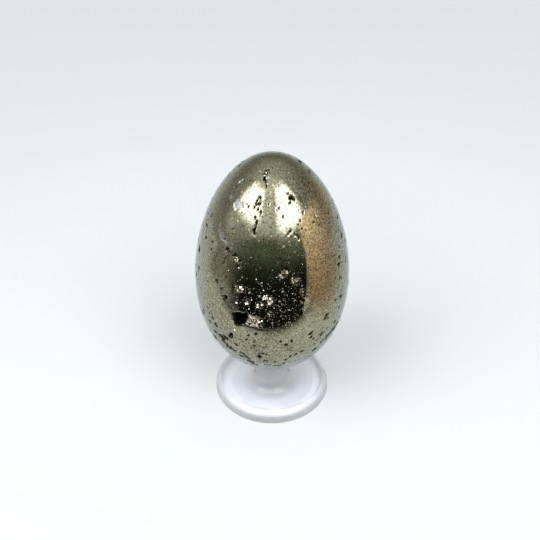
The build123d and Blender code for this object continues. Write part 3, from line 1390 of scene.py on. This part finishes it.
@dataclass(frozen=True)
class MirroredRoom:
    """The room as the polish mirrors it, a sphere with its own glow.

    Each glow has its strength and the degrees of elevation, or of azimuth, over which it comes in.
    """

    radius: float = 3.0
    rows: int = 90
    columns: int = 180
    highest: float = 89.0
    wall: float = 0.31
    overhead: float = 0.45
    overhead_rise: tuple[float, float] = (35, 80)
    foot: float = 0.16
    foot_rise: tuple[float, float] = (20, 0)
    front: float = 0.95
    front_azimuth: float = -4.0
    front_width: float = 75.0
    front_rise: tuple[float, float] = (6, 40)
    front_narrowing: float = 0.3
    back: float = 0.3
    back_rise: tuple[float, float] = (34, 10)
    back_turn: tuple[float, float] = (100, 150)
    side: float = 0.5
    side_lobe: Lobe = Lobe(-76, 19, 13, 8)
    warm_lobe: Lobe = Lobe(115, 5, 32, 28)
    wall_tint: tuple[float, float, float] = (0.98, 1.0, 1.0)
    softbox_tint: tuple[float, float, float] = (0.97, 1.0, 1.14)
    warm_tint: tuple[float, float, float] = (0.1, 0.02, -0.08)

    def build(self) -> bpy.types.Object:
        """Put up the room.

        Formula: a sphere (azimuth, elevation). Its glow is a dim wall that pales overhead and at its foot,
        plus a wide glow at the front, a low one at the back, small ones at the left and right, and the two
        softboxes.

        Returns:
            The sphere.
        """
        turn = np.linspace(-180, 180, self.columns, endpoint=False)
        azimuth, elevation = np.meshgrid(turn, np.linspace(-self.highest, self.highest, self.rows))
        rise = np.radians(elevation)
        ball = round_axis(np.cos(rise), np.radians(azimuth), np.sin(rise))
        light = self.wall + self.overhead * ramp(elevation, *self.overhead_rise)
        light += self.foot * ramp(elevation, *self.foot_rise)
        light += self.back * ramp(elevation, *self.back_rise) * ramp(np.abs(azimuth), *self.back_turn)
        light += self.side * self.side_lobe.seen(azimuth, elevation)
        front = np.exp(-(((azimuth - self.front_azimuth) / self.front_width) ** 2))
        light += self.front * front * ramp(elevation, *self.front_rise) * np.cos(rise) ** self.front_narrowing
        boxes = sum(softbox.seen(azimuth, elevation) for softbox in SOFTBOXES)
        warm = self.warm_lobe.seen(azimuth, elevation)
        shares = np.stack([light, boxes, warm], axis=-1)
        glow = shares @ np.array([self.wall_tint, self.softbox_tint, self.warm_tint])
        points = ball * self.radius + (0, 0, MIDDLE)
        return glowing("room", points, ring_faces(self.rows, self.columns), glow, np.ones_like(light))


@dataclass(frozen=True)
class Card:
    """A card near the egg, which its polish mirrors.

    Its corners are the lower left, lower right, upper right and upper left one, in millimetres. Its tone
    eases from low to high between two shares of its height, and gain is how much brighter than its colour the
    high tone glows.
    """

    name: str
    corners: tuple[tuple[float, float, float], ...]
    low: str
    high: str
    rise: tuple[float, float] = (0.0, 1.0)
    gain: float = 1.0


@dataclass(frozen=True)
class MirroredCards:
    """The dark front of the room with the shade at its foot, and a warm card beside it.

    The cover of each card comes in over shares of its width and height. That of the shade, which lies on the
    table, comes in over millimetres across and towards the viewer, on the near side of a bent edge.
    """

    steps: int = 33
    dark: Card = Card(
        "dark_front",
        ((-150, -62, 0.5), (50, -62, 0.5), (950, -738, 400), (-1650, -738, 400)),
        "#1E221E",
        "#717C6B",
        (0.05, 0.25),
    )
    dark_left: tuple[float, float] = (0.0, 0.5)
    dark_top: tuple[float, float] = (1.0, 0.25)
    dark_step: tuple[float, float] = (0.6, 0.78)
    dark_step_drop: float = 0.4
    shade: Card = Card(
        "front_shade",
        ((-150, -20, 0.3), (100, -20, 0.3), (100, -64, 0.3), (-150, -64, 0.3)),
        "#2A2F2A",
        "#2A2F2A",
    )
    shade_edge: tuple[tuple[float, float], ...] = (
        (-120, -30),
        (-60, -40),
        (-30, -51),
        (0, -51),
        (40, -54),
        (90, -60),
    )
    shade_softness: float = 11.0
    shade_left: tuple[float, float] = (-150, -70)
    shade_right: tuple[float, float] = (100, 40)
    shade_thick: tuple[float, float] = (-60, -30)
    shade_thinned: float = 0.78
    warm: Card = Card(
        "warm_side",
        ((43, -44, 0.5), (59, 20, 0.5), (166, 56, 150), (121, -126, 150)),
        "#C8A684",
        "#FFEACF",
        gain=2.3,
    )
    warm_left: tuple[float, float] = (0.0, 0.08)
    warm_right: tuple[float, float] = (1.0, 0.3)
    warm_foot: tuple[float, float] = (0.0, 0.15)
    warm_top: tuple[float, float] = (1.0, 0.65)

    def put_up(self, card: Card, points: np.ndarray, v: np.ndarray, cover: np.ndarray) -> bpy.types.Object:
        """Put a card up, its tone easing from low to high along v.

        Args:
            card: which card.
            points: its points, on a square grid.
            v: how far up the card each point lies, from 0 to 1.
            cover: how much it hides at each point.

        Returns:
            The card.
        """
        share = ramp(v, *card.rise)[..., None]
        low = np.array(linear(card.low)[:3])
        high = card.gain * np.array(linear(card.high)[:3])
        cells = np.arange(self.steps - 1)
        first = cells[:, None] * self.steps + cells
        quads = np.stack([first, first + 1, first + self.steps + 1, first + self.steps], axis=-1)
        return glowing(card.name, points, quads.reshape(-1, 4), low * (1 - share) + high * share, cover)

    def spread(self, card: Card, u: np.ndarray, v: np.ndarray) -> np.ndarray:
        """Points of a card: a share u between its left and right corners, then v between its foot and top.

        Args:
            card: which card.
            u: shares of its width.
            v: shares of its height.

        Returns:
            One point for each pair of shares.
        """
        left_foot, right_foot, right_top, left_top = np.array(card.corners) * MM
        foot = left_foot + (right_foot - left_foot) * u[..., None]
        top = left_top + (right_top - left_top) * u[..., None]
        return foot + (top - foot) * v[..., None]

    def shade_cover(self, x: np.ndarray, y: np.ndarray) -> np.ndarray:
        """Cover of the shade at places on the table, in millimetres: the product of what its ranges give.

        Args:
            x: places across.
            y: places away from the viewer.

        Returns:
            The cover, from 0 to 1.
        """
        edge = np.interp(x, *np.array(self.shade_edge).T)
        near = ramp(edge - y, -self.shade_softness, self.shade_softness)
        thickness = self.shade_thinned + (1 - self.shade_thinned) * ramp(x, *self.shade_thick)
        return near * thickness * ramp(x, *self.shade_left) * ramp(x, *self.shade_right)

    def build(self) -> None:
        """Put up the dark front, its shade and the warm card, of which the stand shows only the first."""
        shares = np.linspace(0, 1, self.steps)
        u, v = np.meshgrid(shares, shares)
        top = 1 - self.dark_step_drop * ramp(u, *self.dark_step)
        cover = ramp(u, *self.dark_left) * ramp(v / top, *self.dark_top)
        self.put_up(self.dark, self.spread(self.dark, u, v), v, cover)

        points = self.spread(self.shade, u, v)
        cover = self.shade_cover(points[..., 0] / MM, points[..., 1] / MM)
        below = self.put_up(self.shade, points, v, cover)
        below.visible_transmission = False

        cover = ramp(u, *self.warm_left) * ramp(u, *self.warm_right)
        cover *= ramp(v, *self.warm_foot) * ramp(v, *self.warm_top)
        beside = self.put_up(self.warm, self.spread(self.warm, u, v), v, cover)
        beside.visible_transmission = False


@dataclass(frozen=True)
class WhiteTable:
    """The white table.

    Near the object it keeps the shadow. Far from it, it pales to the backdrop's tone. What the polish mirrors
    of the table's front dims with distance, as the light on it does. Distances are in metres.
    """

    size: float = 8.0
    drop: float = 0.1 * MM
    paper: str = "#F1F3F5"
    near_tone: str = "#F9FCFF"
    mirrored_tone: str = "#A9ABA6"
    lift_tone: str = "#F4FAFF"
    lift: float = 0.08
    # Share of the backdrop's tone: fall_end less fall_reach over the distance
    fall_end: float = 1.03
    fall_reach: float = 0.125
    # Distances over which the mirrored table dims, the front begins, and the shadow's ground ends
    dim_from: float = 0.03
    dim_to: float = 0.2
    front_from: float = 0.06
    front_to: float = -0.02
    ground_from: float = 0.07
    ground_to: float = 0.2

    def finish(self) -> bpy.types.Material:
        """Make the table's material.

        Returns:
            White card that reads how far from the object each place lies.
        """
        material, tree = new_material("white_card")
        place = node(tree, "TexCoord").outputs["Object"]
        away = node(tree, "VectorMath", {0: place}, operation="LENGTH").outputs["Value"]
        depth = node(tree, "SeparateXYZ", {"Vector": place}).outputs["Y"]
        path = node(tree, "LightPath").outputs
        inverse = node(tree, "Math", {0: -self.fall_reach, 1: away}, operation="DIVIDE").outputs[0]
        fall = node(tree, "Math", {0: inverse, 1: self.fall_end}, operation="ADD", use_clamp=True).outputs[0]
        backdrop = node(
            tree,
            "Mix",
            {MIX_FACTOR: fall, MIX_FIRST: linear(self.near_tone), MIX_SECOND: linear(BACKDROP)},
            data_type="RGBA",
        ).outputs[MIX_RESULT]
        dim, ahead, far = [
            node(
                tree,
                "MapRange",
                {"Value": value, "From Min": start, "From Max": end},
                interpolation_type="SMOOTHSTEP",
            ).outputs["Result"]
            for value, start, end in (
                (away, self.dim_from, self.dim_to),
                (depth, self.front_from, self.front_to),
                (away, self.ground_from, self.ground_to),
            )
        ]
        mirrored = path["Is Glossy Ray"]
        for share in (dim, ahead):
            mirrored = node(tree, "Math", {0: mirrored, 1: share}, operation="MULTIPLY").outputs[0]
        tone = node(
            tree,
            "Mix",
            {MIX_FACTOR: mirrored, MIX_FIRST: backdrop, MIX_SECOND: linear(self.mirrored_tone)},
            data_type="RGBA",
        ).outputs[MIX_RESULT]

        seen = path["Is Camera Ray"]
        for ray in ("Is Glossy Ray", "Is Transmission Ray"):
            seen = node(tree, "Math", {0: seen, 1: path[ray]}, operation="MAXIMUM").outputs[0]
        far = node(tree, "Math", {0: far, 1: mirrored}, operation="MAXIMUM").outputs[0]
        far = node(tree, "Math", {0: far, 1: seen}, operation="MULTIPLY").outputs[0]
        lift = node(tree, "Math", {0: seen, 1: self.lift}, operation="MULTIPLY").outputs[0]
        paper = node(tree, "BsdfDiffuse", {"Color": linear(self.paper)}).outputs[0]
        white = node(tree, "Emission", {"Color": linear(self.lift_tone), "Strength": lift}).outputs[0]
        near = node(tree, "AddShader", {0: paper, 1: white}).outputs[0]
        glow = node(tree, "Emission", {"Color": tone, "Strength": 1.0}).outputs[0]
        shown = node(tree, "MixShader", {0: far, 1: near, 2: glow}).outputs[0]
        node(tree, "OutputMaterial", {"Surface": shown})
        return material

    def build(self) -> None:
        """Lay the table, one square just under the stand."""
        half = self.size / 2
        points = np.array([(-half, -half), (half, -half), (half, half), (-half, half)])
        flat = np.concatenate([points, np.full((4, 1), -self.drop)], axis=1)
        material = self.finish()
        new_piece("table_top", flat, [(0, 1, 2, 3)], material)


@dataclass(frozen=True)
class Studio:
    """White table, two soft front lights and the room round them, which the polish mirrors."""

    air_tone: str = "#ABB1B4"

    def air(self) -> None:
        """Fill the room with even pale light, and show the backdrop's tone past the table's edge."""
        world = bpy.data.worlds.new("air")
        bpy.context.scene.world = world
        world.use_nodes = True
        tree = world.node_tree
        tree.nodes.clear()
        seen = node(tree, "LightPath").outputs["Is Camera Ray"]
        tone = node(
            tree,
            "Mix",
            {MIX_FACTOR: seen, MIX_FIRST: linear(self.air_tone), MIX_SECOND: linear(BACKDROP)},
            data_type="RGBA",
        ).outputs[MIX_RESULT]
        glow = node(tree, "Background", {"Color": tone, "Strength": 1.0}).outputs[0]
        node(tree, "OutputWorld", {"Surface": glow})

    def build(self) -> None:
        """Set up the view transform, the table, the lamps, what the polish mirrors, and the air."""
        bpy.context.scene.view_settings.view_transform = "Standard"
        WhiteTable().build()
        for softbox in SOFTBOXES:
            softbox.lamp()
        MirroredRoom().build()
        MirroredCards().build()
        self.air()


@dataclass(frozen=True)
class Viewpoint:
    """The camera, at the place and angle from which the egg is seen."""

    place: tuple[float, float, float] = (-0.54 * MM, -112.3 * MM, 107.2 * MM)
    down: float = 31.2
    lens_mm: float = 33.333
    sensor_mm: float = 36.0
    nearest: float = 1 * MM

    def build(self) -> bpy.types.Object:
        """Set the camera up.

        Returns:
            The scene's camera.
        """
        data = bpy.data.cameras.new("viewpoint")
        data.lens = self.lens_mm
        data.sensor_width = self.sensor_mm
        data.clip_start = self.nearest
        camera = bpy.data.objects.new("viewpoint", data)
        camera.location = self.place
        camera.rotation_euler = (math.radians(90 - self.down), 0, 0)
        bpy.context.scene.collection.objects.link(camera)
        bpy.context.scene.camera = camera
        return camera


def main() -> None:
    """Build the egg, its crystals and its stand, then the studio and the camera, and note the sizes."""
    logging.basicConfig(level=logging.INFO)
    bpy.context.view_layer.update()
    draws = np.random.default_rng(SEED)
    egg_low, egg_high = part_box("egg")
    stand_low, stand_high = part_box("pedestal_stand")

    egg = Egg(bottom=egg_low[2], top=egg_high[2], radius=(egg_high[0] - egg_low[0]) / 2)
    stand = PedestalStand(egg, base_radius=(stand_high[0] - stand_low[0]) / 2, height=stand_high[2])
    pieces = [
        egg.build(draws, PolishedPyrite().build()),
        CavityCrystals(egg).build(draws, CrystalPyrite().build()),
        stand.build(ClearAcrylic().build()),
    ]
    for piece in pieces:
        log.info("%s: %d faces", piece.name, len(piece.data.polygons))

    Studio().build()
    Viewpoint().build()


if __name__ == "__main__":
    main()
